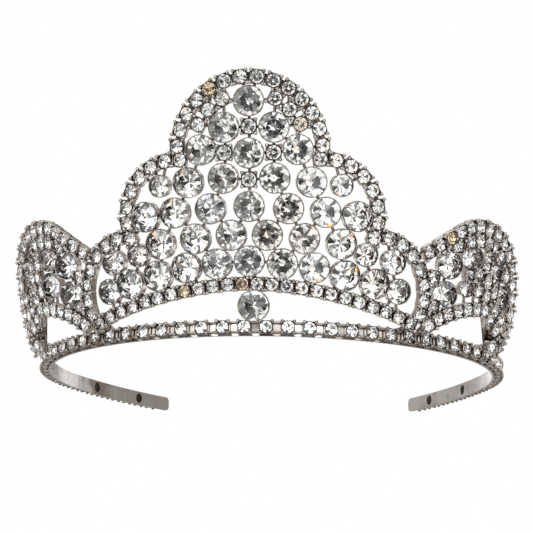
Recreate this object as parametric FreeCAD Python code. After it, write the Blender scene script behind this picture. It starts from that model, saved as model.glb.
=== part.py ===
import FreeCAD, Part
import math
import os
from FreeCAD import Matrix, Placement, Vector

# A bridal tiara.  All lengths are in millimetres.
# Frame: +Z up, the front of the tiara faces -Y, +X is the right side seen from the front.
# The origin is on the plane that the headband's lower edge rests on, under the middle of its box.

# ---- driving dimensions -------------------------------------------------------------------
BAND_RADIUS = 70.0            # outer face of the headband's round front
BAND_FRONT_HALF_ANGLE = 109.0  # degrees of that arc on each side of the middle
ARM_RADIUS = 186.0            # flatter arc of each arm behind the temples
ARM_TIP = 186.0               # length along the band from the middle of the front to a tip
BAND_HEIGHT = 4.5
BAND_THICKNESS = 0.8
TIP_CORNER = 1.4              # rounding of the corners of the arm tips
ARM_HOLE_RADIUS = 1.6
PLUG_PLAY = 0.02              # a plug is this much smaller than its hole in radius
PLUG_RECESS = 0.25            # and this far under the strip's inner face
ARM_HOLE_GAPS = (24, 28)      # the holes are behind these gaps of the base chain, on each side
ORIGIN_SHIFT = 12.47          # the front arc's centre is this far behind the middle of the box

FLARE = 15.0                  # degrees that the crown leans outwards
CROWN_STANDOFF = 0.8          # crown's back surface in front of the band's outer face at z = 0
CROWN_DEPTH = 3.2             # widths u are measured at the stones, this far off the back surface
FRAME_LIFT = 0.9              # back of the frame ribbons in front of the crown's back surface
FRAME_WIDTH = 2.6
FRAME_THICKNESS = 0.8

CHAIN_PITCH = 6.12            # base chain, stone to stone along the band
CHAIN_SHIFT = 1.2             # the base chain's middle gap is this far right of the crown's axis
CHAIN_GAPS_EACH_SIDE = 30
BASE_CUP = 4.0                # width of the square cups on the headband
ARCH_CUP = 3.9
BORDER_CUP = 4.3
FILLER_CUP = 4.6
CHAIN_CUP_HEIGHT = 2.2
CHAIN_CORNER = 0.5            # cut corners of a chain cup
CHAIN_SEAT_FLOOR = 0.35       # metal left under a chain stone
PRONG_RADIUS = 0.4
PRONG_LENGTH = 1.45
PRONG_OVERLAP = 0.9           # how much of a prong runs down into the cup
LINK_RADIUS = 0.28
LINK_HEIGHTS = (-1.2, 1.5)    # the two wires of the base chain, from the middle of the band
LINK_OUT = 0.9                # the wires' distance from the band's outer face
LINK_BITE = 0.1               # how far a wire runs into each cup

LARGE_CUP_RADIUS = 4.45
DROP_CUP_RADIUS = 4.55
FRONT_TURN = 18.0             # degrees that the round cups of the wings are turned to the front
FRONT_TURN_SPAN = (35.0, 55.0)  # u where that turn starts and where it is full
LARGE_CUP_HEIGHT = 3.9
CUP_WALL = 0.3
CLAW_WIDTH = 0.9
CLAW_LENGTH = 0.85
CLAW_RISE = 0.35              # how far a claw stands above the rim
CLAW_FOOT = 0.3               # and how far it starts below it
STONE_SIDES = 8
TABLE_SHARE = 0.56            # table radius over girdle radius

ARCH_CREST = 14.3             # height of the lower arch at the middle
ARCH_FOOT = 6.3               # its height at each end
ARCH_HALF_WIDTH = 48.5
ARCH_FALL_POWER = 1.7
ARCH_CUPS = 24
DROP_HEIGHT = 8.3             # height of the middle of the drop stone

# Crown outline: each lobe is an arc (centre u, centre v, radius) on the developed crown,
# where u runs sideways and v runs up the slope.  Chains and ribbons follow the lobes between
# a first and a last angle (degrees clockwise from straight up) with a number of cups or sections.
TOP_LOBE = (0.0, 52.2, 21.0)
TOP_INNER = (0.0, 52.2, 16.5)
MID_LOBE = (22.5, 35.5, 15.0)
LOWER_LOBE = (38.5, 15.3, 14.6)
WING_LOBE = (77.5, 18.0, 20.2)
WING_INNER = (77.5, 18.0, 16.1)
WING_NOTCH = (54.6, 27.6)     # where the wing's border leaves the lower lobe
POST_FOOT_OUTER = (90.8, 5.4)
POST_FOOT_INNER = (86.5, 5.4)
POST_HEAD_INNER = (81.9, 15.2)
POST_CUP_INNER = (83.4, 12.4)  # highest cup of the post's inner column
WING_SILL = ((55.0, 6.7), (66.0, 12.0), (80.0, 14.6))  # start, middle and end of its lower arc
TOP_CHAIN = (-84.5, 84.5, 14)
TOP_INNER_CHAIN = (27.0, 62.0, 3)
MID_CHAIN = (-9.0, 114.0, 8)
LOWER_CHAIN = (10.0, 115.0, 7)
WING_INNER_CHAIN = (-23.0, 8.0, 3)
TOP_RIBBON = (-89.0, 89.0, 25)
MID_RIBBON = (-14.0, 117.0, 19)
LOWER_RIBBON = (-6.0, 119.0, 19)
WING_ARC_END = 107.0          # angle on the wing's lobe where the post begins
WING_FLANK_CUPS = 4
WING_OVER_CUPS = 12
WING_OVER_SECTIONS = 17
POST_OUTER_CUPS = 4
SILL_CUPS = 7
SILL_SECTIONS = 9

# Stones inside the outline, as (u, v) on the right half; u = 0 is on the axis.
PANEL_LARGE = (
    (0.0, 66.3),
    (7.1, 58.9),
    (0.0, 51.6), (13.9, 52.8),
    (7.3, 44.6), (17.7, 43.8),
    (0.0, 36.6), (11.1, 36.1), (21.7, 35.5), (31.0, 35.0),
    (5.1, 28.5), (15.6, 27.8), (26.3, 26.9),
    (0.0, 21.2), (9.3, 20.5), (18.4, 19.7), (27.3, 18.0),
    (36.4, 16.4),
)
PANEL_MEDIUM = ((26.6, 43.4, 3.3), (33.9, 24.4, 3.5), (42.5, 23.2, 3.8), (44.2, 15.0, 3.8))  # + radius
PANEL_FILLERS = ((0.0, 59.1), (7.0, 51.8), (0.0, 44.1))
# The wings mirror each other in outline, but their stones are set by eye: (u, v, cup radius).
WING_ROUND = {
    "right": ((61.0, 16.2, 4.1), (62.9, 24.9, 4.1), (72.4, 28.4, 3.8), (71.0, 19.4, 2.6),
              (82.2, 30.2, 2.3), (85.6, 26.2, 3.0), (90.2, 20.0, 3.7)),
    "left": ((60.6, 16.2, 4.15), (62.7, 24.9, 4.1), (72.4, 28.4, 3.8), (71.8, 20.6, 3.9),
             (83.0, 31.0, 2.4), (88.6, 27.6, 3.4), (87.6, 21.0, 3.0)),
}
WING_FILLERS = {
    "right": ((56.4, 20.6), (56.6, 12.3), (65.8, 31.0), (71.2, 23.9), (75.5, 24.3), (75.8, 19.6),
              (78.9, 26.9), (80.4, 22.9), (80.3, 18.7), (84.3, 20.6), (86.6, 31.0), (90.7, 26.4),
              (86.2, 15.8), (90.8, 14.0), (88.0, 10.4)),
    "left": ((56.4, 20.6), (56.6, 12.3), (65.8, 31.0), (78.9, 28.0), (79.6, 24.0), (77.8, 19.8),
             (82.3, 18.2), (84.0, 25.0), (93.3, 20.4), (87.0, 15.8), (91.4, 15.0), (88.4, 11.0)),
}

SOLDER_RADIUS = 0.45
SOLDER_REACH = 1.9            # cups closer together than this are soldered to each other,
ROUND_SOLDER_REACH = 1.1      # and two round cups only when they are closer than this
SOLDER_LEVEL = 1.4            # height of the solder above the crown's back surface
SOLDER_BITE = 0.25            # how far a solder joint runs into each cup's wall
SOLDER_SHORTEST = 0.3
FOOT_RADIUS = 0.8
FOOT_BITE = 0.5               # how far a foot runs down behind the band's upper edge

# ---- places -------------------------------------------------------------------------------
SLOPE = math.radians(FLARE)
FRONT_HALF = math.radians(BAND_FRONT_HALF_ANGLE)
FRONT_HALF_LENGTH = BAND_RADIUS * FRONT_HALF
ARM_CENTRE_SHIFT = BAND_RADIUS - ARM_RADIUS
TIP_HEADING = FRONT_HALF + (ARM_TIP - FRONT_HALF_LENGTH) / ARM_RADIUS
TIP_Y = -ARM_CENTRE_SHIFT * math.cos(FRONT_HALF) - ARM_RADIUS * math.cos(TIP_HEADING) + ORIGIN_SHIFT
RIBBON_FRONT = FRAME_LIFT + FRAME_THICKNESS
LARGEST_SQUARE = max(BASE_CUP, ARCH_CUP, BORDER_CUP, FILLER_CUP)


def band_heading(s):
    """Angle of the band's outward direction at the length s from the middle of the front."""
    length = abs(s)
    if length <= FRONT_HALF_LENGTH:
        heading = length / BAND_RADIUS
    else:
        heading = FRONT_HALF + (length - FRONT_HALF_LENGTH) / ARM_RADIUS
    return math.copysign(heading, s)


def band_point(s, height, out=0.0):
    """A point at length s along the band, at a height, and out from its outer face."""
    heading = band_heading(s)
    if abs(s) <= FRONT_HALF_LENGTH:
        centre_x = centre_y = 0.0
        radius = BAND_RADIUS
    else:
        side = math.copysign(1.0, s)
        centre_x = side * ARM_CENTRE_SHIFT * math.sin(FRONT_HALF)
        centre_y = -ARM_CENTRE_SHIFT * math.cos(FRONT_HALF)
        radius = ARM_RADIUS
    radius += out
    x = centre_x + radius * math.sin(heading)
    y = centre_y - radius * math.cos(heading)
    return Vector(x, y + ORIGIN_SHIFT, height)


def frame_matrix(origin, sideways, upwards, outwards):
    """Placement whose local X, Y and Z are the three given directions."""
    return Placement(Matrix(
        sideways.x, upwards.x, outwards.x, origin.x,
        sideways.y, upwards.y, outwards.y, origin.y,
        sideways.z, upwards.z, outwards.z, origin.z,
        0, 0, 0, 1))


def band_place(s, height, out=0.0):
    heading = band_heading(s)
    sideways = Vector(math.cos(heading), math.sin(heading), 0)
    outwards = Vector(math.sin(heading), -math.cos(heading), 0)
    return frame_matrix(band_point(s, height, out), sideways, Vector(0, 0, 1), outwards)


def crown_angle(u, v):
    """Angle round the crown of the developed point (u, v)."""
    return u / (BAND_RADIUS + CROWN_STANDOFF + v * math.sin(SLOPE) + CROWN_DEPTH)


def crown_directions(angle):
    sideways = Vector(math.cos(angle), math.sin(angle), 0)
    upwards = Vector(math.sin(angle) * math.sin(SLOPE), -math.cos(angle) * math.sin(SLOPE),
                     math.cos(SLOPE))
    outwards = Vector(math.sin(angle) * math.cos(SLOPE), -math.cos(angle) * math.cos(SLOPE),
                      -math.sin(SLOPE))
    return sideways, upwards, outwards


def crown_point(u, v, out=0.0):
    """A point on the crown's back surface, or out in front of it."""
    angle = crown_angle(u, v)
    radius = BAND_RADIUS + CROWN_STANDOFF + v * math.sin(SLOPE)
    back = Vector(radius * math.sin(angle), -radius * math.cos(angle) + ORIGIN_SHIFT,
                  v * math.cos(SLOPE))
    return back + crown_directions(angle)[2] * out


def crown_place(u, v, out=0.0, turn=0.0):
    """Placement on the crown; turn (degrees) rolls it about its outward direction."""
    sideways, upwards, outwards = crown_directions(crown_angle(u, v))
    roll = math.radians(turn)
    across = sideways * math.cos(roll) + upwards * math.sin(roll)
    along = upwards * math.cos(roll) - sideways * math.sin(roll)
    return frame_matrix(crown_point(u, v, out), across, along, outwards)


# ---- cups and stones ----------------------------------------------------------------------
def revolved(profile):
    """Solid of revolution about local Z of (radius, height) points."""
    points = [Vector(r, 0, z) for r, z in profile]
    outline = Part.makePolygon(points + [points[0]])
    return Part.Face(outline).revolve(Vector(0, 0, 0), Vector(0, 0, 1), 360)


def round_place(u, v):
    """Placement of a round cup; far to the side it is turned to the front about its middle."""
    start, full = FRONT_TURN_SPAN
    share = min(max((abs(u) - start) / (full - start), 0.0), 1.0)
    angle = crown_angle(u, v) - math.copysign(math.radians(FRONT_TURN * share), u)
    sideways, upwards, outwards = crown_directions(angle)
    middle = LARGE_CUP_HEIGHT / 2
    base = crown_point(u, v, middle) - outwards * middle
    return frame_matrix(base, sideways, upwards, outwards)


def round_cup_height(radius):
    """Smaller round cups are a little lower than the large ones."""
    return LARGE_CUP_HEIGHT * (0.35 + 0.65 * radius / LARGE_CUP_RADIUS)


def round_cup(radius):
    """Deep round cup: thin wall, conical seat and four short claws over the stone's edge."""
    scale = radius / LARGE_CUP_RADIUS
    height = round_cup_height(radius)
    inside = radius - CUP_WALL
    floor = height * 0.16
    cup = revolved((
        (0, 0), (radius * 0.8, 0), (radius, height * 0.3), (radius, height),
        (inside, height), (inside, height * 0.78), (radius * 0.25, floor), (0, floor)))
    width = CLAW_WIDTH * scale
    length = CLAW_LENGTH * scale
    claw = Part.makeBox(length, width, CLAW_RISE + CLAW_FOOT,
                        Vector(radius - length, -width / 2, height - CLAW_FOOT))
    for quarter in range(4):
        turned = claw.copy()
        turned.rotate(Vector(0, 0, 0), Vector(0, 0, 1), 45 + 90 * quarter)
        cup = cup.fuse(turned)
    return cup


def faceted_stone(radius, girdle, crown, pavilion):
    """Eight-sided brilliant: table, crown facets and a pointed pavilion under the girdle."""
    steps = [2 * math.pi * (k + 0.5) / STONE_SIDES for k in range(STONE_SIDES)]

    def ring(ring_radius, height):
        return [Vector(ring_radius * math.cos(a), ring_radius * math.sin(a), height) for a in steps]

    rim = ring(radius, girdle)
    table = ring(radius * TABLE_SHARE, girdle + crown)
    culet = Vector(0, 0, girdle - pavilion)
    faces = [Part.Face(Part.makePolygon(table + [table[0]]))]
    for k in range(STONE_SIDES):
        following = (k + 1) % STONE_SIDES
        crown_facet = [rim[k], rim[following], table[following], table[k], rim[k]]
        pavilion_facet = [rim[k], culet, rim[following], rim[k]]
        faces.append(Part.Face(Part.makePolygon(crown_facet)))
        faces.append(Part.Face(Part.makePolygon(pavilion_facet)))
    return closed_solid(faces)


def closed_solid(faces):
    solid = Part.makeSolid(Part.makeShell(faces))
    if solid.Volume < 0:
        solid.reverse()
    return solid


def round_stone(cup_radius):
    """Stone for a round cup: its girdle is just under the rim, its point just above the floor."""
    height = round_cup_height(cup_radius)
    girdle = height * 0.86
    crown = cup_radius * 0.29
    return faceted_stone(cup_radius - CUP_WALL - 0.02, girdle, crown, girdle - height * 0.18)


def square_cup(width):
    """Square chain cup with cut corners, a conical seat and a prong at each corner."""
    half = width / 2
    flat = half - CHAIN_CORNER
    outline = [Vector(x, y, 0) for x, y in (
        (flat, -half), (half, -flat), (half, flat), (flat, half),
        (-flat, half), (-half, flat), (-half, -flat), (-flat, -half))]
    base = Part.Face(Part.makePolygon(outline + [outline[0]]))
    block = base.extrude(Vector(0, 0, CHAIN_CUP_HEIGHT))
    seat = Part.makeCone(width * 0.2, width * 0.45, CHAIN_CUP_HEIGHT - CHAIN_SEAT_FLOOR + 0.01,
                         Vector(0, 0, CHAIN_SEAT_FLOOR))
    cup = block.cut(seat)
    for x in (-flat, flat):
        for y in (-flat, flat):
            foot = Vector(x, y, CHAIN_CUP_HEIGHT - PRONG_OVERLAP)
            cup = cup.fuse(Part.makeCylinder(PRONG_RADIUS, PRONG_LENGTH, foot))
    return cup


def chain_stone(width):
    """Stone for a square cup, a little under its edge and clear of the seat's floor."""
    girdle = CHAIN_CUP_HEIGHT - 0.1
    culet = CHAIN_SEAT_FLOOR + 0.1
    return faceted_stone(width * 0.43, girdle, width * 0.15, girdle - culet)


def round_settings(points):
    """Round cups and their stones at (u, v, cup radius) points."""
    cups, stones = [], []
    for u, v, radius in points:
        place = round_place(u, v)
        cups += copies(round_cup(radius), [place])
        stones += copies(round_stone(radius), [place])
    return cups, stones


def copies(template, placements):
    group = []
    for placement in placements:
        piece = template.copy()
        piece.Placement = placement
        group.append(piece)
    return group


# ---- lines of chain on the crown ----------------------------------------------------------
def lobe_points(lobe, first, last, count):
    """Evenly spaced (u, v, turn) on an arc; turn rolls a cup so that it follows the line."""
    centre_u, centre_v, radius = lobe
    points = []
    for k in range(count):
        angle = first + (last - first) * k / (count - 1)
        u = centre_u + radius * math.sin(math.radians(angle))
        v = centre_v + radius * math.cos(math.radians(angle))
        points.append((u, v, -angle))
    return points


def line_points(start, end, count):
    turn = math.degrees(math.atan2(end[1] - start[1], end[0] - start[0]))
    return [(start[0] + (end[0] - start[0]) * k / (count - 1),
             start[1] + (end[1] - start[1]) * k / (count - 1), turn) for k in range(count)]


def arch_point(share):
    """The lower arch: share runs from -1 at the left end to 1 at the right end."""
    fall = (ARCH_CREST - ARCH_FOOT) * abs(share) ** ARCH_FALL_POWER
    v = (ARCH_CREST - fall) / math.cos(SLOPE)
    slope = -(ARCH_CREST - ARCH_FOOT) * ARCH_FALL_POWER * abs(share) ** (ARCH_FALL_POWER - 1)
    turn = math.degrees(math.atan2(math.copysign(slope, slope * share), ARCH_HALF_WIDTH))
    return ARCH_HALF_WIDTH * share, v, turn


def circle_through(first, middle, last):
    """Centre and radius of the circle through three (u, v) points."""
    arc = Part.Arc(Vector(*first, 0), Vector(*middle, 0), Vector(*last, 0)).toShape().Curve
    return arc.Center.x, arc.Center.y, arc.Radius


def sill_points(count):
    """The wing's lower border, an arc that rises from the headband to the post."""
    centre_u, centre_v, radius = circle_through(*WING_SILL)
    angles = [math.degrees(math.atan2(u - centre_u, v - centre_v)) for u, v in
              (WING_SILL[0], WING_SILL[2])]
    return lobe_points((centre_u, centre_v, radius), angles[0], angles[1], count)


def tangent_angle(lobe, point):
    """Clockwise angle at which a line from a point on the left touches the lobe's top."""
    centre_u, centre_v, radius = lobe
    du = centre_u - point[0]
    dv = centre_v - point[1]
    bearing = math.degrees(math.atan2(dv, du))
    opening = math.degrees(math.asin(radius / math.hypot(du, dv)))
    return -(bearing + opening)


def on_lobe(lobe, angle):
    return lobe_points(lobe, angle, angle + 1.0, 2)[0][:2]


def wing_border_points(over_count):
    """From the notch, over the wing and down to the head of the post."""
    touch = tangent_angle(WING_LOBE, WING_NOTCH)
    flank = line_points(WING_NOTCH, on_lobe(WING_LOBE, touch), WING_FLANK_CUPS)
    return flank[:-1] + lobe_points(WING_LOBE, touch, WING_ARC_END, over_count)


def outer_post_points():
    return line_points(on_lobe(WING_LOBE, WING_ARC_END), POST_FOOT_OUTER, POST_OUTER_CUPS)


def mirrored(points):
    return [(-u, v, -turn) for u, v, turn in points]


def both_sides(points):
    """The (u, v, value) points and their mirror images; points on the axis are kept once."""
    return [(side * u, v, value) for u, v, value in points for side in ((1, -1) if u > 0 else (1,))]


def with_value(points, value):
    return [(u, v, value) for u, v in points]


# ---- frame ribbons ------------------------------------------------------------------------
def ribbon(points):
    """Flat metal ribbon behind a line of cups, lofted through its cross-sections."""
    half = FRAME_WIDTH / 2
    corners = (Vector(0, half, 0), Vector(0, -half, 0),
               Vector(0, -half, FRAME_THICKNESS), Vector(0, half, FRAME_THICKNESS))
    sections = []
    for u, v, turn in points:
        place = crown_place(u, v, FRAME_LIFT, turn)
        outline = [place.multVec(corner) for corner in corners]
        sections.append(Part.makePolygon(outline + outline[:1]))
    return Part.makeLoft(sections, True, False)


def chain_on_crown(points, width):
    """Square cups and their stones on top of a ribbon."""
    places = [crown_place(u, v, RIBBON_FRONT, turn) for u, v, turn in points]
    return copies(square_cup(width), places), copies(chain_stone(width), places)


# ---- headband -----------------------------------------------------------------------------
def headband_strip():
    """Flat strip bent into a horseshoe, with rounded tips and two holes in each arm."""
    inner = -BAND_THICKNESS
    stops = (-ARM_TIP, -FRONT_HALF_LENGTH, FRONT_HALF_LENGTH, ARM_TIP)

    def arc_edge(start, end, out):
        middle = band_point((start + end) / 2, 0, out)
        return Part.Arc(band_point(start, 0, out), middle, band_point(end, 0, out)).toShape()

    outer_edges = [arc_edge(a, b, 0.0) for a, b in zip(stops, stops[1:])]
    inner_edges = [arc_edge(b, a, inner) for a, b in reversed(list(zip(stops, stops[1:])))]
    left_end = Part.LineSegment(band_point(-ARM_TIP, 0, inner), band_point(-ARM_TIP, 0)).toShape()
    right_end = Part.LineSegment(band_point(ARM_TIP, 0), band_point(ARM_TIP, 0, inner)).toShape()
    outline = Part.Wire(outer_edges + [right_end] + inner_edges + [left_end])
    strip = Part.Face(outline).extrude(Vector(0, 0, BAND_HEIGHT))
    tip_edges = [edge for edge in strip.Edges
                 if abs(edge.Length - BAND_THICKNESS) < 0.01 and edge.CenterOfMass.y > TIP_Y - 2]
    strip = strip.makeFillet(TIP_CORNER, tip_edges)
    for s in hole_positions():
        drill = Part.makeCylinder(ARM_HOLE_RADIUS, 4 * BAND_THICKNESS)
        drill.Placement = band_place(s, BAND_HEIGHT / 2, -2 * BAND_THICKNESS)
        strip = strip.cut(drill)
    return strip


def arm_plugs():
    """A plug in each hole of the arms, level with the strip's outer face."""
    length = BAND_THICKNESS - PLUG_RECESS
    plug = Part.makeCylinder(ARM_HOLE_RADIUS - PLUG_PLAY, length)
    return copies(plug, [band_place(s, BAND_HEIGHT / 2, -length) for s in hole_positions()])


def hole_positions():
    """Two holes in each arm, each behind a gap between two cups of the chain."""
    return [side * gap * CHAIN_PITCH + CHAIN_SHIFT for side in (-1, 1)
            for gap in ARM_HOLE_GAPS]


def base_chain_positions():
    count = CHAIN_GAPS_EACH_SIDE
    return [(k + 0.5) * CHAIN_PITCH + CHAIN_SHIFT for k in range(-count, count)]


def base_chain():
    places = [band_place(s, BAND_HEIGHT / 2) for s in base_chain_positions()]
    return copies(square_cup(BASE_CUP), places), copies(chain_stone(BASE_CUP), places)


def base_links():
    """Two thin wires across each gap between the cups of the base chain."""
    length = CHAIN_PITCH - BASE_CUP + 2 * LINK_BITE
    wire = Part.makeCylinder(LINK_RADIUS, length, Vector(-length / 2, 0, 0), Vector(1, 0, 0))
    places = [band_place(s + CHAIN_PITCH / 2, BAND_HEIGHT / 2 + height, LINK_OUT)
              for s in base_chain_positions()[:-1] for height in LINK_HEIGHTS]
    return copies(wire, places)


# ---- solder and feet ----------------------------------------------------------------------
def rod(start, end, radius):
    run = end - start
    return Part.makeCylinder(radius, run.Length, start, run)


def solder_joints(cups):
    """A short round joint between every two cups, given as (u, v, radius), that nearly touch."""
    joints = []
    for index, (u1, v1, r1) in enumerate(cups):
        for u2, v2, r2 in cups[index + 1:]:
            distance = math.hypot(u2 - u1, v2 - v1)
            gap = distance - r1 - r2
            both_round = min(r1, r2) > LARGEST_SQUARE / 2
            if gap > (ROUND_SOLDER_REACH if both_round else SOLDER_REACH):
                continue
            start = (r1 - SOLDER_BITE) / distance
            end = 1 - (r2 - SOLDER_BITE) / distance
            if (end - start) * distance < SOLDER_SHORTEST:
                continue
            first = crown_point(u1 + (u2 - u1) * start, v1 + (v2 - v1) * start, SOLDER_LEVEL)
            second = crown_point(u1 + (u2 - u1) * end, v1 + (v2 - v1) * end, SOLDER_LEVEL)
            joints.append(rod(first, second, SOLDER_RADIUS))
    return joints


def feet(points):
    """Short posts from the headband's upper edge to the frame at the (u, v) points."""
    posts = []
    for u, v in points:
        top = crown_point(u, v, FRAME_LIFT + FRAME_THICKNESS / 2)
        heading = crown_angle(u, v)
        bottom = band_point(heading * BAND_RADIUS, BAND_HEIGHT - FOOT_BITE, -BAND_THICKNESS / 2)
        posts.append(rod(bottom, top, FOOT_RADIUS))
    return posts


# ---- assembly -----------------------------------------------------------------------------
def headband_nodes():
    nodes = {"headband_strip": [headband_strip()], "arm_plugs": arm_plugs()}
    nodes["base_chain_cups"], nodes["base_chain_stones"] = base_chain()
    nodes["base_chain_links"] = base_links()
    return nodes


def arch_nodes(arch):
    nodes = {"arch_frame": [ribbon(arch)]}
    nodes["arch_cups"], nodes["arch_stones"] = chain_on_crown(arch, ARCH_CUP)
    drop_v = DROP_HEIGHT / math.cos(SLOPE)
    drop = crown_place(CHAIN_SHIFT, drop_v, FRAME_LIFT)
    nodes["drop_cup"] = copies(round_cup(DROP_CUP_RADIUS), [drop])
    nodes["drop_stone"] = copies(round_stone(DROP_CUP_RADIUS), [drop])
    above = crown_point(CHAIN_SHIFT, ARCH_CREST / math.cos(SLOPE), RIBBON_FRONT - FRAME_THICKNESS / 2)
    below = band_point(CHAIN_SHIFT, BAND_HEIGHT - FOOT_BITE, -BAND_THICKNESS / 2)
    inset = DROP_CUP_RADIUS * 0.8
    nodes["drop_hangers"] = [
        rod(above, crown_point(CHAIN_SHIFT, drop_v + inset, SOLDER_LEVEL), SOLDER_RADIUS),
        rod(below, crown_point(CHAIN_SHIFT, drop_v - inset, SOLDER_LEVEL), SOLDER_RADIUS)]
    return nodes


def outline_nodes(top, inner, mid, low):
    """The lobed outline: ribbons, cups and stones of the top lobe and the two lobes each side."""
    nodes = {"top_lobe_frame": [ribbon(lobe_points(TOP_LOBE, *TOP_RIBBON))]}
    nodes["top_lobe_cups"], nodes["top_lobe_stones"] = chain_on_crown(top, BORDER_CUP)
    nodes["top_inner_cups"], nodes["top_inner_stones"] = chain_on_crown(inner, BORDER_CUP)
    mid_path = lobe_points(MID_LOBE, *MID_RIBBON)
    low_path = lobe_points(LOWER_LOBE, *LOWER_RIBBON)
    for side, mirror in (("right", list), ("left", mirrored)):
        for name, points, path in (("mid_lobe", mid, mid_path), ("lower_lobe", low, low_path)):
            cups, stones = chain_on_crown(mirror(points), BORDER_CUP)
            nodes[f"{name}_frame_{side}"] = [ribbon(mirror(path))]
            nodes[f"{name}_cups_{side}"] = cups
            nodes[f"{name}_stones_{side}"] = stones
    return nodes


def panel_rounds():
    """Every round cup of the panel, as (u, v, radius)."""
    return both_sides(with_value(PANEL_LARGE, LARGE_CUP_RADIUS)), both_sides(PANEL_MEDIUM)


def panel_nodes():
    """The stones that fill the lobed outline."""
    nodes = {}
    for name, points in zip(("panel_large", "panel_medium"), panel_rounds()):
        cups, stones = round_settings(points)
        nodes[f"{name}_cups"] = cups
        nodes[f"{name}_stones"] = stones
    fillers = both_sides(with_value(PANEL_FILLERS, 0.0))
    nodes["panel_filler_cups"], nodes["panel_filler_stones"] = chain_on_crown(fillers, FILLER_CUP)
    return nodes


def crown_nodes():
    arch = [arch_point(-1 + 2 * k / (ARCH_CUPS - 1)) for k in range(ARCH_CUPS)]
    top = lobe_points(TOP_LOBE, *TOP_CHAIN)
    flank = lobe_points(TOP_INNER, *TOP_INNER_CHAIN)
    inner = flank + mirrored(flank)
    mid = lobe_points(MID_LOBE, *MID_CHAIN)
    low = lobe_points(LOWER_LOBE, *LOWER_CHAIN)
    nodes = arch_nodes(arch)
    nodes.update(outline_nodes(top, inner, mid, low))
    nodes.update(panel_nodes())

    border = top + inner + mid + mirrored(mid) + low + mirrored(low)
    large, medium = panel_rounds()
    soldered = large + medium + both_sides(with_value(PANEL_FILLERS, FILLER_CUP / 2))
    soldered += [(u, v, BORDER_CUP / 2) for u, v, _ in border]
    soldered += [(u, v, ARCH_CUP / 2) for u, v, _ in arch]
    nodes["panel_solder_joints"] = solder_joints(soldered)

    lobe_end = low[-1][0], low[-1][1] - FRAME_WIDTH / 2
    arch_end = arch[-1][:2]
    nodes["crown_feet"] = feet([(side * u, v) for side in (-1, 1) for u, v in
                                (lobe_end, arch_end, WING_SILL[0], POST_FOOT_INNER,
                                 POST_FOOT_OUTER)])
    return nodes


def wing_nodes(side, mirror):
    nodes = {}
    inner_post = line_points(POST_HEAD_INNER, POST_FOOT_INNER, 2)
    nodes[f"wing_frame_{side}"] = [ribbon(mirror(wing_border_points(WING_OVER_SECTIONS))),
                                   ribbon(mirror(sill_points(SILL_SECTIONS)))]
    nodes[f"post_frame_{side}"] = [ribbon(mirror(outer_post_points())), ribbon(mirror(inner_post))]

    inner_row = lobe_points(WING_INNER, *WING_INNER_CHAIN)
    border = wing_border_points(WING_OVER_CUPS) + inner_row + sill_points(SILL_CUPS)
    post = outer_post_points()[1:] + line_points(POST_CUP_INNER, POST_FOOT_INNER, 2)
    fillers = with_value(WING_FILLERS[side], 0.0)
    for name, points in (("wing_border", border), ("post", post), ("wing_filler", fillers)):
        cups, stones = chain_on_crown(mirror(points), BORDER_CUP)
        nodes[f"{name}_cups_{side}"] = cups
        nodes[f"{name}_stones_{side}"] = stones

    sign = 1 if side == "right" else -1
    rounds = [(sign * u, v, radius) for u, v, radius in WING_ROUND[side]]
    cups, stones = round_settings(rounds)
    nodes[f"wing_round_cups_{side}"] = cups
    nodes[f"wing_round_stones_{side}"] = stones

    rows = border + post + fillers + lobe_points(LOWER_LOBE, *LOWER_CHAIN)
    soldered = rounds + [(u, v, BORDER_CUP / 2) for u, v, _ in mirror(rows)]
    nodes[f"wing_solder_joints_{side}"] = solder_joints(soldered)
    return nodes


def main():
    nodes = headband_nodes()
    nodes.update(crown_nodes())
    nodes.update(wing_nodes("right", list))
    nodes.update(wing_nodes("left", mirrored))
    os.makedirs("parts", exist_ok=True)
    for name, solids in nodes.items():
        shape = solids[0] if len(solids) == 1 else Part.makeCompound(solids)
        shape.exportStep(f"parts/{name}.step")
        print(name, len(solids), "solids")


main()
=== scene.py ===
import math
import random
from collections import namedtuple

import bpy
import numpy as np
from mathutils import Matrix, Vector


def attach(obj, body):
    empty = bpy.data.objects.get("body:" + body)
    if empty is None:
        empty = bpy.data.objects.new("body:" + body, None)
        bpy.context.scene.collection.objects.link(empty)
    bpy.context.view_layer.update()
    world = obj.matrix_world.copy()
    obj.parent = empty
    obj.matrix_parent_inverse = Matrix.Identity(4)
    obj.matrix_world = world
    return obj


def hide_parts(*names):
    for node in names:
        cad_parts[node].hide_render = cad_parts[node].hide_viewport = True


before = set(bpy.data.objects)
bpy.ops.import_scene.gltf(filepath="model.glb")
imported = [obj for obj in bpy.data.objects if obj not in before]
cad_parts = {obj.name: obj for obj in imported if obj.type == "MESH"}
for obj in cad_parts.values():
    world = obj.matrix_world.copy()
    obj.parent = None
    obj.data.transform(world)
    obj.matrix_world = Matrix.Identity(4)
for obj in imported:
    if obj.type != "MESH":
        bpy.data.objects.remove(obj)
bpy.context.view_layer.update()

rng = random.Random(20)
MM = 0.001

# ---- sizes, in millimetres unless a comment says otherwise --------------------------------
CROWN_ANGLE = 34.0           # slopes of a stone's facets, in degrees
PAVILION_ANGLE = 41.3
GIRDLE_EDGE = 0.02           # half of a girdle's thickness, as a share of its radius
HALF_FACET_RISE = 0.6        # rise of the girdle between two corners, as a share of the full one
ROUND_TABLE = 0.56           # table radius over girdle radius
SQUARE_TABLE = 0.54
STONE_TILT = 2.2             # spread of the stones' tilts, in degrees

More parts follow.
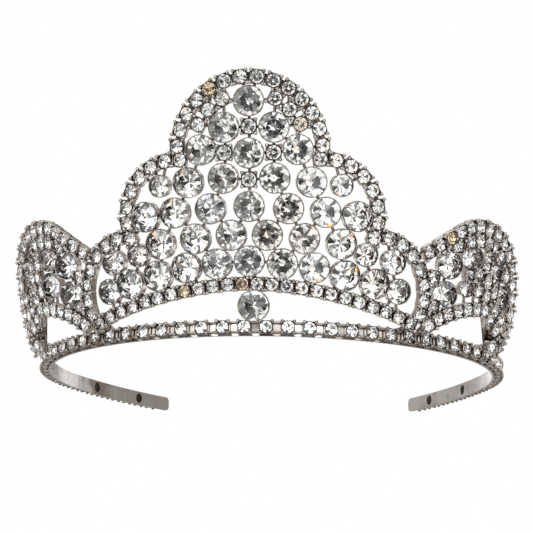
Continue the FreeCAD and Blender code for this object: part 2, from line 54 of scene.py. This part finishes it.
LARGE_CUP_RADIUS = 4.45
LARGE_CUP_HEIGHT = 3.9
FIXED_HEIGHT_SHARE = 0.35    # the share of that height that a smaller cup keeps
CUP_BEYOND_GIRDLE = 0.32     # round cup's outer radius beyond its CAD stone's girdle
CUP_SIDES = 40
ROUND_STONE_FOOT = 0.18      # CAD stone's point above its cup's base, as a share of the height
ROUND_STONE_GROWTH = 0.04    # cut stone's radius beyond the CAD stone's
ROUND_GIRDLE_DROP = 0.05     # girdle under the cup's rim

CLAW_WIDTH = 0.62            # of a claw on a large cup
CLAW_REACH = 0.5             # how far it bends over the stone
CLAW_HALF_THICKNESS = 0.2
CLAW_INSET = 0.12            # a claw's foot inside the cup's outer face
CLAW_SIDES = 8
# A claw's middle line: distance outside its foot, share of the reach inwards, height above the
# rim and share of the full section.
CLAW_LINE = ((0.05, 0.0, -1.5, 0.75), (0.08, 0.0, -0.5, 0.95), (0.02, 0.0, 0.05, 1.0),
             (0.0, 0.45, 0.42, 0.95), (0.0, 1.0, 0.45, 0.7))

SQUARE_WIDTHS = {"base_chain": 4.0, "arch": 3.9, "panel_filler": 4.6}
BORDER_WIDTH = 4.3           # of every other square cup
SQUARE_CUP_HEIGHT = 2.2
SQUARE_CORNER = 1.27         # distance of a cup's rounded corner over half its width
SCALLOP = 0.16               # dip of the sides between the corners, as a share of the height
SQUARE_STONE_FOOT = 0.45     # CAD stone's point above its cup's base
SQUARE_STONE_SHARE = 0.44    # cut stone's radius over the cup's width
SQUARE_GIRDLE = 2.0          # height of the cut stone's girdle
# A square cup's section, from the base up the outside and down the inside, as shares of half the
# width and of the height.
SQUARE_SECTION = ((0.2, 0.0), (0.88, 0.0), (0.96, 0.04), (1.0, 0.15), (1.0, 0.85), (0.98, 0.97),
                  (0.94, 1.0), (0.89, 0.97), (0.87, 0.85), (0.86, 0.6), (0.6, 0.3), (0.2, 0.2))
PRONG_RADIUS = 0.56
PRONG_STRETCH = 1.15
PRONG_PLACE = 0.86           # distance of a prong from each middle line over half the width
PRONG_LEVEL = 0.98           # height of its middle over the cup's height
PRONG_SIDES = 10
PRONG_ROWS = 6

GIRDLE_SHARE = 0.9           # points of a CAD stone beyond this share of its reach are its girdle
CUP_MIDDLE = 1.5             # height, above a cup's base, of the point that its CAD points are near
RIM_DEPTH = 0.06             # points this close to a CAD cup's highest are its rim
SMOOTH_BELOW = 50            # degrees; sharper edges of the formed cups stay sharp


# ---- places of the cups and stones, read from the CAD nodes ------------------------------
def node_points(name):
    """Vertices of a CAD node, in millimetres."""
    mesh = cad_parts[name].data
    points = np.empty(len(mesh.vertices) * 3)
    mesh.vertices.foreach_get("co", points)
    return points.reshape(-1, 3) / MM


def islands(name):
    """The separate closed pieces of a CAD node, each as an array of its distinct points."""
    distinct, index = np.unique(np.round(node_points(name), 3), axis=0, return_inverse=True)
    index = index.reshape(-1)
    owner = list(range(len(distinct)))

    def root(k):
        while owner[k] != k:
            owner[k] = owner[owner[k]]
            k = owner[k]
        return k

    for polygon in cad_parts[name].data.polygons:
        corners = [root(index[v]) for v in polygon.vertices]
        for k in corners[1:]:
            owner[root(k)] = root(corners[0])
    groups = {}
    for k, point in enumerate(distinct):
        groups.setdefault(root(k), []).append(point)
    return [np.array(group) for group in groups.values()]


def stone_seat(points, foot_of):
    """Base of a CAD stone's cup, the direction that the stone faces and its girdle radius.

    foot_of(radius) is how far the stone's point stands above its cup's base.
    """
    centre = points.mean(0)
    axis = np.linalg.svd(points - centre)[2][2]
    along = (points - centre) @ axis
    if -along.min() < along.max():
        axis, along = -axis, -along
    culet = centre + axis * along.min()
    reach = np.linalg.norm(points - centre - np.outer(along, axis), axis=1)
    radius = reach[reach > GIRDLE_SHARE * reach.max()].mean()
    return culet - axis * foot_of(radius), axis, radius


def cup_rotation(points, base, axis):
    """Rotation from a template to a CAD cup, turned so that the corners of the rims agree."""
    local = points - base
    height = local @ axis
    rim = local[height > height.max() - RIM_DEPTH]
    side = np.cross([0, 0, 1], axis)
    side /= np.linalg.norm(side)
    up = np.cross(axis, side)
    angle = np.arctan2(rim @ up, rim @ side)
    corner = math.atan2(np.sin(4 * angle).sum(), np.cos(4 * angle).sum()) / 4
    turn = corner - math.pi / 4
    x = side * math.cos(turn) + up * math.sin(turn)
    return np.array([x, np.cross(axis, x), axis]).T


def stone_frames(stones, cups, foot_of):
    """For each stone: rotation, place of its cup's base and girdle radius, in millimetres."""
    seats = [stone_seat(points, foot_of) for points in islands(stones)]
    cup_points = node_points(cups)
    middles = np.array([base + axis * CUP_MIDDLE for base, axis, _ in seats])
    owner = np.array([np.argmin(((middles - p) ** 2).sum(1)) for p in cup_points])
    return [(cup_rotation(cup_points[owner == k], base, axis), base, radius)
            for k, (base, axis, radius) in enumerate(seats)]


# ---- templates, in millimetres, with the cup's base at z = 0 ------------------------------
def ring(radius, height, count):
    """Points spaced evenly round local Z."""
    return [(radius * math.cos(a), radius * math.sin(a), height)
            for a in (2 * math.pi * k / count for k in range(count))]


def brilliant(radius, girdle, table):
    """Round stone: table, 8 crown facets with 8 stars between them, and 8 pavilion facets."""
    step = math.pi / 8
    table_radius = radius * table
    crown_slope = math.tan(math.radians(CROWN_ANGLE))
    pavilion_slope = math.tan(math.radians(PAVILION_ANGLE))
    crown = (radius - table_radius) * crown_slope
    edge = radius * GIRDLE_EDGE
    culet = girdle - edge - radius * pavilion_slope

    def rim(height_at_corner, height_between):
        return [(radius * math.cos(step * k), radius * math.sin(step * k),
                 height_between if k % 2 else height_at_corner) for k in range(16)]

    corner_lift = radius * (1 - math.cos(step))
    points = (ring(table_radius, girdle + crown, 8)
              + rim(girdle + edge, girdle + edge + corner_lift * crown_slope * HALF_FACET_RISE)
              + rim(girdle - edge, girdle - edge - corner_lift * pavilion_slope)
              + [(0, 0, culet)])
    upper, lower, point = 8, 24, 40      # first points of the two rims, and the culet
    faces = [tuple(range(8))]
    for k in range(8):
        after = (k + 1) % 8
        here, half, before = 2 * k, 2 * k + 1, (2 * k - 1) % 16
        faces.append((k, after, upper + half))
        faces.append((k, upper + before, upper + here))
        faces.append((k, upper + here, upper + half))
    for k in range(16):
        after = (k + 1) % 16
        faces.append((upper + k, upper + after, lower + after, lower + k))
    front = len(faces)
    for k in range(8):
        faces.append((point, lower + (2 * k - 1) % 16, lower + 2 * k, lower + 2 * k + 1))
    return outward(points, faces, [0] * front + [1] * 8, (0, 0, girdle))


def outward(points, faces, slots, inside):
    """Turns every face of a convex body so that it looks away from the inside point."""
    co = np.array(points, float)
    turned = []
    for f in faces:
        a, b, c = co[f[0]], co[f[1]], co[f[2]]
        normal = np.cross(b - a, c - a)
        turned.append(f if normal @ (co[list(f)].mean(0) - inside) > 0 else tuple(reversed(f)))
    return co, turned, slots


def tube_sides(rows, count):
    """Faces between rings of points, as (lower, next lower, next upper, upper)."""
    sides = []
    for i in range(rows - 1):
        low, high = i * count, (i + 1) * count
        for k in range(count):
            after = (k + 1) % count
            sides.append((low + k, low + after, high + after, high + k))
    return sides


def lathe(profile, count, shape=None):
    """Closed skin round local Z through (radius, height) points; shape may move each point."""
    points = []
    for r, z in profile:
        for k in range(count):
            a = 2 * math.pi * k / count
            points.append(shape(a, r, z) if shape else (r * math.cos(a), r * math.sin(a), z))
    last = (len(profile) - 1) * count
    ends = [tuple(reversed(range(count))), tuple(last + k for k in range(count))]
    return points, tube_sides(len(profile), count) + ends


def claw(radius, top, scale, angle):
    """A short rounded claw that stands on a round cup's wall and bends over the stone."""
    reach = CLAW_REACH * scale
    half_width = CLAW_WIDTH * scale / 2
    path = [(radius + out - reach * inwards, top + rise, share)
            for out, inwards, rise, share in CLAW_LINE]
    points = []
    for i, (r, z, share) in enumerate(path):
        before = path[max(i - 1, 0)]
        after = path[min(i + 1, len(path) - 1)]
        run = Vector((after[0] - before[0], 0, after[1] - before[1])).normalized()
        out = Vector((run.z, 0, -run.x))
        for k in range(CLAW_SIDES):
            a = 2 * math.pi * k / CLAW_SIDES
            p = (Vector((r, 0, z)) + out * (CLAW_HALF_THICKNESS * share * math.cos(a))
                 + Vector((0, 1, 0)) * (half_width * share * math.sin(a)))
            points.append((p.x * math.cos(angle) - p.y * math.sin(angle),
                           p.x * math.sin(angle) + p.y * math.cos(angle), p.z))
    last = (len(path) - 1) * CLAW_SIDES
    sides = [(a, d, c, b) for a, b, c, d in tube_sides(len(path), CLAW_SIDES)]
    ends = [tuple(range(CLAW_SIDES)), tuple(last + k for k in reversed(range(CLAW_SIDES)))]
    return points, sides + ends


def joined(parts):
    """One template from several (points, faces) pairs, all in the first material slot."""
    points, faces = [], []
    for more, polygons in parts:
        start = len(points)
        points += more
        faces += [tuple(v + start for v in f) for f in polygons]
    return np.array(points, float), faces, [0] * len(faces)


def round_cup(radius, height):
    """Thin-walled round cup with a rolled lip and four claws."""
    base = ((radius * 0.25, 0.0), (radius * 0.72, 0.02), (radius * 0.83, 0.12))
    wall = ((radius * 0.955, height * 0.26), (radius * 0.99, height * 0.36),
            (radius * 0.995, height - 0.30))
    lip = ((radius + 0.02, height - 0.12), (radius, height - 0.03), (radius - 0.07, height + 0.01),
           (radius - 0.18, height - 0.02), (radius - 0.24, height - 0.12))
    inside = ((radius - 0.26, height - 0.35), (radius * 0.6, height * 0.45),
              (radius * 0.12, height * 0.06))
    scale = radius / LARGE_CUP_RADIUS
    claws = [claw(radius - CLAW_INSET, height, scale, math.radians(45 + 90 * k))
             for k in range(4)]
    return joined([lathe(base + wall + lip + inside, CUP_SIDES)] + claws)


def prong(place):
    """A small ball at one corner of a square cup, drawn out upwards."""
    x0, y0, z0 = place
    quarter_turns = (math.pi * (k / PRONG_ROWS - 0.5) for k in range(PRONG_ROWS + 1))
    profile = [(max(PRONG_RADIUS * math.cos(a), PRONG_RADIUS * 0.05),
                z0 + PRONG_RADIUS * PRONG_STRETCH * math.sin(a)) for a in quarter_turns]
    points, faces = lathe(profile, PRONG_SIDES)
    return [(x + x0, y + y0, z) for x, y, z in points], faces


def square_cup(width):
    """Square chain cup: low scalloped sides and a rounded prong at each corner."""
    half = width / 2

    def shape(angle, share, level):
        cube = max(abs(math.cos(angle)), abs(math.sin(angle)))
        square = min(1 / cube, SQUARE_CORNER)
        corner = abs(math.sin(2 * angle)) ** 4
        x, y = math.cos(angle) * square * half, math.sin(angle) * square * half
        z = level * SQUARE_CUP_HEIGHT * (1 - SCALLOP + SCALLOP * corner)
        return x * share, y * share, z

    out = half * PRONG_PLACE
    prongs = [prong((x, y, SQUARE_CUP_HEIGHT * PRONG_LEVEL))
              for x in (-out, out) for y in (-out, out)]
    return joined([lathe(SQUARE_SECTION, CUP_SIDES, shape)] + prongs)


def instanced(name, template_of, frames, slots, tilt_spread=0.0, pivot_of=None):
    """One mesh with a template at every frame.

    template_of(girdle radius) gives the template. With a spread, in degrees, each is turned about
    its own axis and tilted about the height that pivot_of(girdle radius) gives, both at random.
    """
    points, polygons, indices, shades = [], [], [], []
    for rotation, base, radius in frames:
        co, faces, face_slots = template_of(radius)
        pivot = pivot_of(radius) if pivot_of else 0.0
        tilt = Matrix.Identity(3)
        if tilt_spread:
            tilt = Matrix.Rotation(rng.uniform(0, math.pi / 4), 3, "Z")
            lean = Vector((rng.gauss(0, 1), rng.gauss(0, 1), 0)) * math.radians(tilt_spread)
            if lean.length > 0:
                tilt = Matrix.Rotation(lean.length, 3, lean.normalized()) @ tilt
        own = (co - (0, 0, pivot)) @ np.array(tilt).T + (0, 0, pivot)
        start = len(points)
        points.extend(map(tuple, (own @ rotation.T + base) * MM))
        polygons += [tuple(v + start for v in f) for f in faces]
        indices += face_slots
        shades += [rng.random()] * len(faces)
    mesh = bpy.data.meshes.new(name)
    mesh.from_pydata(points, [], polygons)
    mesh.polygons.foreach_set("material_index", indices)
    for slot in slots:
        mesh.materials.append(slot)
    shade = mesh.attributes.new("piece_shade", "FLOAT", "FACE")
    shade.data.foreach_set("value", shades)
    obj = bpy.data.objects.new(name, mesh)
    bpy.context.scene.collection.objects.link(obj)
    return obj


def smooth(obj, degrees):
    """Smooth shading, but for edges sharper than the angle."""
    obj.data.polygons.foreach_set("use_smooth", [True] * len(obj.data.polygons))
    obj.data.set_sharp_from_angle(angle=math.radians(degrees))


# ---- materials ----------------------------------------------------------------------------
class Nodes:
    """Short calls for building a node tree."""

    def __init__(self, tree):
        self.tree = tree
        tree.nodes.clear()

    def add(self, kind, inputs=None, **values):
        node = self.tree.nodes.new(kind)
        for key, value in values.items():
            setattr(node, key, value)
        for key, value in (inputs or {}).items():
            if isinstance(value, bpy.types.NodeSocket):
                self.tree.links.new(value, node.inputs[key])
            else:
                node.inputs[key].default_value = value
        return node

    def coordinates(self, output="Object"):
        return self.add("ShaderNodeTexCoord").outputs[output]

    def camera_ray(self):
        """1 for what the camera sees directly, and 0 for light, reflections and refractions."""
        return self.add("ShaderNodeLightPath").outputs["Is Camera Ray"]

    def ramp(self, fac, stops):
        node = self.add("ShaderNodeValToRGB", {"Fac": fac})
        ramp = node.color_ramp
        while len(ramp.elements) < len(stops):
            ramp.elements.new(0.5)
        for element, (position, colour) in zip(ramp.elements, stops):
            element.position = position
            element.color = (*colour, 1.0)
        return node.outputs["Color"]

    def span(self, value, low, high, to_low, to_high, smoothly=False):
        limits = {"Value": value, "From Min": low, "From Max": high,
                  "To Min": to_low, "To Max": to_high}
        curve = "SMOOTHSTEP" if smoothly else "LINEAR"
        return self.add("ShaderNodeMapRange", limits, interpolation_type=curve).outputs[0]

    def noise(self, vector, scale, detail=3.0, rough=0.5):
        inputs = {"Vector": vector, "Scale": scale, "Detail": detail, "Roughness": rough}
        return self.add("ShaderNodeTexNoise", inputs).outputs["Fac"]

    def mix(self, fac, a, b):
        node = self.add("ShaderNodeMix", data_type="RGBA")
        for socket, value in ((node.inputs[0], fac), (node.inputs[6], a), (node.inputs[7], b)):
            if isinstance(value, bpy.types.NodeSocket):
                self.tree.links.new(value, socket)
            else:
                socket.default_value = value if not isinstance(value, tuple) else (*value, 1.0)
        return node.outputs[2]

    def maths(self, operation, *values):
        return self.add("ShaderNodeMath", dict(enumerate(values)), operation=operation).outputs[0]

    def dot(self, vector, towards):
        node = self.add("ShaderNodeVectorMath", {0: vector, 1: towards}, operation="DOT_PRODUCT")
        return node.outputs["Value"]

    def output(self, shader, kind="Material"):
        out = self.add("ShaderNodeOutput" + kind)
        self.tree.links.new(shader.outputs[0], out.inputs[0])


CREVICE_SHADE = (0.13, 0.10, 0.08)       # painted shade, dark brown, in crevices
SMUDGE = (0.30, 0.22, 0.17)        # in soft patches on bare metal


def material(name):
    made = bpy.data.materials.new(name)
    made.use_nodes = True
    return made, Nodes(made.node_tree)


def metal(name, stops, rough, grain, stretch=(1, 1, 1), bump=0.1, patch=90.0, reach=0.0012,
          smudge=None):
    """Plated metal: worn colour, painted dark brown shade in the crevices, uneven polish and
    scratches.

    grain, patch and smudge are noise scales; reach is how wide a crevice may be, in metres.
    """
    made, n = material(name)
    place = n.coordinates()
    colour = n.ramp(n.noise(place, patch, 5.0, 0.6), stops)
    if smudge:
        stain = n.span(n.noise(place, smudge, 2.0, 0.5), 0.56, 0.68, 0.0, 0.75, True)
        colour = n.mix(stain, colour, SMUDGE)
    # Painted shade: the colour turns dark brown where ambient occlusion finds a crevice.
    crevice = n.add("ShaderNodeAmbientOcclusion", {"Distance": reach}, samples=4).outputs["AO"]
    colour = n.mix(n.span(crevice, 0.25, 0.85, 1.0, 0.0, True), colour, CREVICE_SHADE)
    drawn = n.add("ShaderNodeMapping", {"Vector": place, "Scale": stretch}).outputs["Vector"]
    lines = n.noise(drawn, grain, 3.0, 0.55)
    height = n.add("ShaderNodeBump", {"Strength": bump, "Distance": 0.0001, "Height": lines})
    n.output(n.add("ShaderNodeBsdfPrincipled",
                   {"Base Color": colour, "Metallic": 1.0,
                    "Roughness": n.span(lines, 0.3, 0.7, rough[0], rough[1]),
                    "Normal": height.outputs["Normal"]}))
    return made


def crystal(name, casts):
    """Clear cut crystal; each stone has one of the faint casts."""
    made, n = material(name)
    shade = n.add("ShaderNodeAttribute", attribute_name="piece_shade").outputs["Fac"]
    haze = n.span(n.noise(n.coordinates(), 500.0, 2.0), 0.45, 0.75, 0.0, 0.035)
    n.output(n.add("ShaderNodeBsdfPrincipled",
                   {"Base Color": n.ramp(shade, casts), "Roughness": haze, "IOR": 1.57,
                    "Transmission Weight": 1.0}))
    return made


def foil(name):
    """The mirror foil behind a stone, a little dull where it is scuffed."""
    made, n = material(name)
    spots = n.noise(n.coordinates(), 900.0, 3.0, 0.6)
    colour = n.ramp(spots, ((0.3, (0.78, 0.78, 0.77)), (0.55, (0.94, 0.94, 0.93)),
                            (0.8, (0.98, 0.97, 0.95))))
    n.output(n.add("ShaderNodeBsdfPrincipled",
                   {"Base Color": colour, "Metallic": 1.0,
                    "Roughness": n.span(spots, 0.3, 0.8, 0.01, 0.06)}))
    return made


SETTING = metal(
    "plated_setting",
    ((0.30, (0.30, 0.25, 0.21)), (0.50, (0.56, 0.51, 0.46)), (0.75, (0.80, 0.77, 0.73))),
    rough=(0.10, 0.26), grain=1500.0, bump=0.15, patch=420.0)
RIBBON = metal(
    "plated_ribbon",
    ((0.30, (0.24, 0.20, 0.17)), (0.5, (0.42, 0.38, 0.34)), (0.75, (0.62, 0.59, 0.55))),
    rough=(0.16, 0.34), grain=900.0, bump=0.12, patch=200.0)
SOLDER = metal(
    "solder",
    ((0.28, (0.26, 0.21, 0.17)), (0.5, (0.52, 0.47, 0.42)), (0.75, (0.74, 0.70, 0.66))),
    rough=(0.25, 0.5), grain=1200.0, bump=0.35, patch=500.0)
BAND = metal(
    "brushed_band",
    ((0.30, (0.52, 0.46, 0.40)), (0.45, (0.76, 0.73, 0.70)), (0.7, (0.86, 0.84, 0.82))),
    rough=(0.15, 0.30), grain=2500.0, stretch=(1, 1, 0.02), bump=0.25, patch=45.0, reach=0.0005,
    smudge=70.0)
# Near-black finish for the arm plugs: painted shade that stands for the shade inside the arm holes.
HOLE_SHADE = metal(
    "painted_hole_shade",
    ((0.35, (0.035, 0.025, 0.022)), (0.6, (0.09, 0.07, 0.06))),
    rough=(0.45, 0.6), grain=1500.0, bump=0.2, patch=900.0)
WIRE = metal(
    "drawn_wire",
    ((0.3, (0.42, 0.37, 0.32)), (0.7, (0.74, 0.71, 0.68))),
    rough=(0.15, 0.3), grain=1500.0, bump=0.08, patch=300.0)
CLEAR_CASTS = ((0.0, (0.95, 0.97, 0.98)), (0.5, (1.0, 1.0, 1.0)), (0.86, (0.98, 0.98, 0.96)))
WARM_CAST = ((1.0, (0.97, 0.93, 0.87)),)
# An amber tint on a few small stones, which also stands in for orange glints: partly a painted
# glint.
AMBER_TINT_AND_GLINTS = ((0.975, (0.98, 0.95, 0.90)), (0.985, (0.92, 0.72, 0.48)))
GLASS = crystal("crystal", CLEAR_CASTS + WARM_CAST)
SMALL_GLASS = crystal("small_crystal", CLEAR_CASTS + AMBER_TINT_AND_GLINTS)
FOIL = foil("foil_back")


# ---- how a stone sits in each kind of cup -------------------------------------------------
# Each field but the glass is a function of the girdle radius of the stone in CAD.
Setting = namedtuple("Setting", "foot cup girdle stone glass")


def cup_radius(radius):
    return radius + CUP_BEYOND_GIRDLE


def cup_height(radius):
    """Height of a round cup; the smaller ones are a little lower."""
    varied = (1 - FIXED_HEIGHT_SHARE) * cup_radius(radius) / LARGE_CUP_RADIUS
    return LARGE_CUP_HEIGHT * (FIXED_HEIGHT_SHARE + varied)


def round_setting():
    def girdle(radius):
        return cup_height(radius) - ROUND_GIRDLE_DROP

    return Setting(
        foot=lambda radius: ROUND_STONE_FOOT * cup_height(radius),
        cup=lambda radius: round_cup(cup_radius(radius), cup_height(radius)),
        girdle=girdle,
        stone=lambda radius: brilliant(radius + ROUND_STONE_GROWTH, girdle(radius), ROUND_TABLE),
        glass=GLASS)


def square_setting(width):
    return Setting(
        foot=lambda radius: SQUARE_STONE_FOOT,
        cup=lambda radius: square_cup(width),
        girdle=lambda radius: SQUARE_GIRDLE,
        stone=lambda radius: brilliant(width * SQUARE_STONE_SHARE, SQUARE_GIRDLE, SQUARE_TABLE),
        glass=SMALL_GLASS)


# ---- pieces -------------------------------------------------------------------------------
MIDDLE_SETS = ("base_chain", "arch", "top_lobe", "top_inner", "panel_large", "panel_medium",
               "panel_filler")
SIDE_SETS = ("mid_lobe", "lower_lobe", "wing_border", "post", "wing_filler", "wing_round")
ROUND_SETS = ("panel_large", "panel_medium", "wing_round")


def set_stones(cups, stones, setting):
    """Formed cups and cut stones in place of two CAD nodes."""
    frames = stone_frames(stones, cups, setting.foot)
    seat = instanced(cups + "_formed", setting.cup, frames, [SETTING])
    smooth(seat, SMOOTH_BELOW)
    gem = instanced(stones + "_cut", setting.stone, frames, [setting.glass, FOIL], STONE_TILT,
                    setting.girdle)
    for piece, node, slot in ((seat, cups, "setting_metal"), (gem, stones, "crystal")):
        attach(piece, "root")
        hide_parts(node)


def setting_of(name):
    if name in ROUND_SETS:
        return round_setting()
    return square_setting(SQUARE_WIDTHS.get(name, BORDER_WIDTH))


for name in MIDDLE_SETS:
    set_stones(f"{name}_cups", f"{name}_stones", setting_of(name))
for side in ("right", "left"):
    for name in SIDE_SETS:
        set_stones(f"{name}_cups_{side}", f"{name}_stones_{side}", setting_of(name))
set_stones("drop_cup", "drop_stone", round_setting())

# The arm plugs take the near-black painted shade of the arm holes.
FINISHES = {"headband_strip": BAND, "base_chain_links": WIRE, "arm_plugs": HOLE_SHADE,
            "crown_feet": SOLDER, "drop_hangers": SOLDER}
for name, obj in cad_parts.items():
    if obj.hide_render:
        continue
    finish = SOLDER if "solder" in name else FINISHES.get(name, RIBBON)
    for slot in obj.material_slots:
        slot.material = finish

# ---- floor --------------------------------------------------------------------------------
FLOOR_SIZE = 6.0             # metres
FLOOR_DROP = 0.2             # under the headband's lower edge


def pale_floor():
    """Matte paint that shows only to a camera above it; light and reflections pass through."""
    made, n = material("pale_floor")
    grain = n.noise(n.coordinates(), 40.0, 4.0)
    colour = n.ramp(grain, ((0.3, (0.88, 0.88, 0.88)), (0.7, (0.92, 0.92, 0.92))))
    matte = n.add("ShaderNodeBsdfDiffuse", {"Color": colour})
    clear = n.add("ShaderNodeBsdfTransparent")
    from_below = n.add("ShaderNodeNewGeometry").outputs["Backfacing"]
    seen = n.maths("MULTIPLY", n.camera_ray(), n.maths("SUBTRACT", 1.0, from_below))
    n.output(n.add("ShaderNodeMixShader", {0: seen, 1: clear.outputs[0], 2: matte.outputs[0]}))
    return made


bpy.ops.mesh.primitive_plane_add(size=FLOOR_SIZE, location=(0, 0, -FLOOR_DROP * MM))
floor = bpy.context.object
floor.name = "floor"
floor.data.materials.append(pale_floor())

# ---- light --------------------------------------------------------------------------------
FRONT = (5, -14)             # azimuth and elevation, in degrees, from which the tiara is seen
SKY = ((0.0, (0.34, 0.32, 0.30)), (0.5, (0.50, 0.48, 0.46)), (0.75, (0.95, 0.94, 0.93)),
       (1.0, (1.1, 1.1, 1.1)))
CLUTTER_SCALE = 9.0
CLUTTER_SHARE = 0.88         # how much of the plain sky the clutter hides
# Brightness of a cell of the clutter, by half the sum of its random tone and the facing level.
CLUTTER = ((0.0, (0.02, 0.021, 0.022)), (0.24, (0.06, 0.062, 0.064)), (0.34, (0.15, 0.155, 0.16)),
           (0.47, (0.38, 0.385, 0.385)), (0.50, (1.2, 1.2, 1.2)), (1.0, (2.0, 2.0, 2.0)))
# How dark (under 0.5) or bright (over 0.5) the room is, by the angle in degrees from the front:
# a stone's edge and its middle each look back at a ring of it.
FACING_LEVELS = ((0, 0.10), (8, 0.15), (11, 0.40), (14, 0.60), (20, 0.64), (29, 0.62), (34, 0.36),
                 (41, 0.40), (46, 0.52), (53, 0.54), (90, 0.45))
PATCHES = (                  # azimuth, elevation, radius and softness in degrees, colour
    (5, -14, 8, 3, (0.02, 0.02, 0.02)),
    (-31, 13, 7, 2, (2.3, 2.3, 2.3)),
    (-18, 13, 8, 2, (2.3, 2.3, 2.3)),
    (-4, 13, 8, 2, (2.3, 2.3, 2.3)),
    (10, 13, 8, 2, (2.3, 2.3, 2.3)),
    (23, 13, 7, 2, (2.3, 2.3, 2.3)),
    (-48, 32, 14, 5, (2.0, 2.0, 2.0)),
    (52, 36, 12, 5, (2.0, 2.0, 2.0)),
    (95, 12, 34, 8, (0.30, 0.28, 0.265)),
    (-105, 12, 32, 8, (0.48, 0.46, 0.45)),
    (30, -22, 2.5, 1, (2.4, 1.1, 0.35)),
    (-24, -6, 2, 1, (0.4, 0.6, 2.4)),
    (-26, -38, 2.5, 1, (2.4, 1.3, 0.5)),
)


def direction(azimuth, elevation):
    """Unit vector; azimuth 0 is towards -Y (the front) and 90 towards +X."""
    a, e = math.radians(azimuth), math.radians(elevation)
    return Vector((math.sin(a) * math.cos(e), -math.cos(a) * math.cos(e), math.sin(e)))


def cluttered_room(n, ray):
    """Dark and bright cells all round, darker or brighter by the angle from the front."""
    cells = n.add("ShaderNodeTexVoronoi", {"Vector": ray, "Scale": CLUTTER_SCALE,
                                           "Randomness": 1.0})
    random_tone = n.add("ShaderNodeSeparateColor", {"Color": cells.outputs["Color"]}).outputs[0]
    turn = n.maths("ARCCOSINE", n.dot(ray, direction(*FRONT)))
    level = n.ramp(n.span(turn, 0.0, math.pi, 0.0, 1.0),
                   [(degrees / 180, (level,) * 3) for degrees, level in FACING_LEVELS])
    tone = n.maths("ADD", random_tone, level)
    return n.ramp(n.span(tone, 0.0, 2.0, 0.0, 1.0), CLUTTER)


def studio():
    """A room of soft light that the crystals and the metal show; the camera sees plain white."""
    world = bpy.data.worlds.new("studio")
    world.use_nodes = True
    n = Nodes(world.node_tree)
    ray = n.coordinates("Generated")
    height = n.add("ShaderNodeSeparateXYZ", {"Vector": ray}).outputs["Z"]
    sky = n.ramp(n.span(height, -1.0, 1.0, 0.0, 1.0), SKY)
    light = n.mix(CLUTTER_SHARE, sky, cluttered_room(n, ray))
    for azimuth, elevation, radius, soft, colour in PATCHES:
        near = n.span(n.dot(ray, direction(azimuth, elevation)),
                      math.cos(math.radians(radius + soft)),
                      math.cos(math.radians(radius - soft)), 0.0, 1.0, True)
        light = n.mix(near, light, colour)
    shown = n.mix(n.camera_ray(), light, (1.0, 1.0, 1.0))
    n.output(n.add("ShaderNodeBackground", {"Color": shown, "Strength": 1.0}), "World")
    return world


bpy.context.scene.world = studio()
bpy.context.scene.view_settings.view_transform = "Standard"

# ---- camera -------------------------------------------------------------------------------
CAMERA_TARGET = (-2.17, 12.47, 35.8)
CAMERA_DISTANCE = 700.0
CAMERA_AZIMUTH = 5.06        # degrees, as are the next two
CAMERA_ELEVATION = -12.57
CAMERA_ROLL = 1.03
CAMERA_LENS = 148.32
SENSOR_WIDTH = 36.0
NEAREST_SEEN = 10.0


def place_camera():
    """The camera looks at its target from the front and a little below."""
    back = direction(CAMERA_AZIMUTH, CAMERA_ELEVATION)
    right = Vector((0, 0, 1)).cross(back).normalized()
    up = back.cross(right)
    roll = math.radians(CAMERA_ROLL)
    image_x = right * math.cos(roll) + up * math.sin(roll)
    image_y = up * math.cos(roll) - right * math.sin(roll)
    rotation = Matrix((image_x, image_y, back)).transposed().to_4x4()
    camera = bpy.data.objects.new("camera", bpy.data.cameras.new("camera"))
    camera.data.lens = CAMERA_LENS
    camera.data.sensor_width = SENSOR_WIDTH
    camera.data.clip_start = NEAREST_SEEN * MM
    place = Vector(CAMERA_TARGET) * MM + back * (CAMERA_DISTANCE * MM)
    camera.matrix_world = Matrix.Translation(place) @ rotation
    bpy.context.scene.collection.objects.link(camera)
    bpy.context.scene.camera = camera


place_camera()
